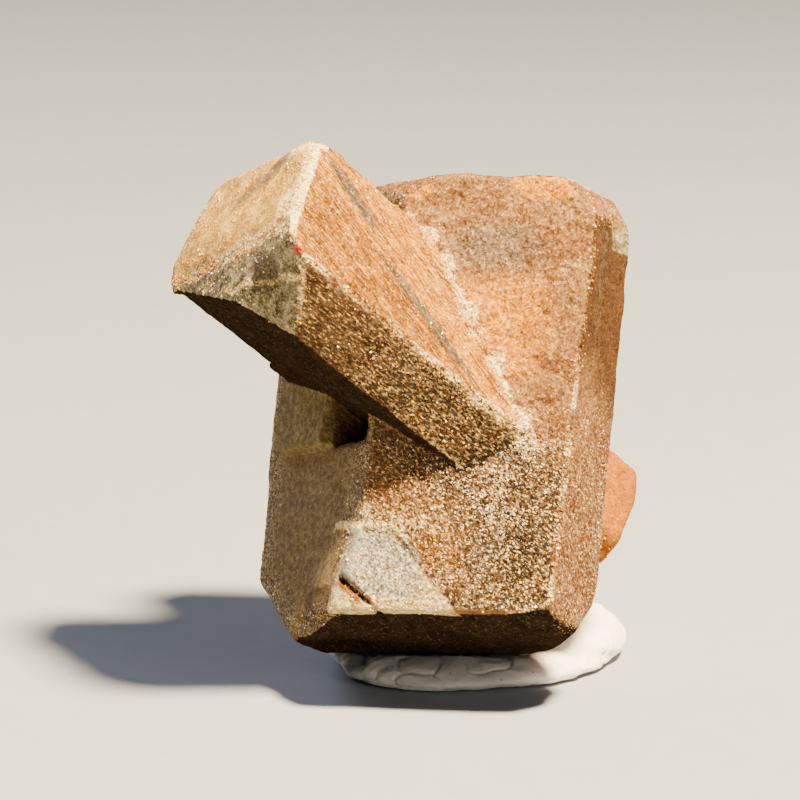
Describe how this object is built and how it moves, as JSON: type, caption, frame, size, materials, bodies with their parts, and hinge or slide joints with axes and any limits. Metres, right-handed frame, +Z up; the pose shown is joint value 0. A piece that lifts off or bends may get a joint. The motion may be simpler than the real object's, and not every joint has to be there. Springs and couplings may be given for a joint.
{
  "type": "staurolite crystal",
  "caption": "Twinned staurolite crystal: a thick leaning prism crossed by a slanting arm, broken and worn, standing in a flat pad of putty.",
  "frame": {"origin": "centre of the underside of the whole object's box, on the surface the putty rests on", "axes": "+Z up; -Y is the front, from which the arm crosses the upright crystal from upper left to lower right; +X to the right"},
  "size_m": [0.0188, 0.0166, 0.0218],
  "materials": {
    "staurolite": "rusty red-brown and orange-brown crystal faces, dull to slightly glassy, grainy, with olive-grey and pale grey broken patches",
    "putty": "off-white mounting putty, soft satin, pressed and folded"
  },
  "bodies": {
    "root": {"staurolite_twin": "staurolite", "mounting_putty": "putty"}
  },
  "joints": []
}
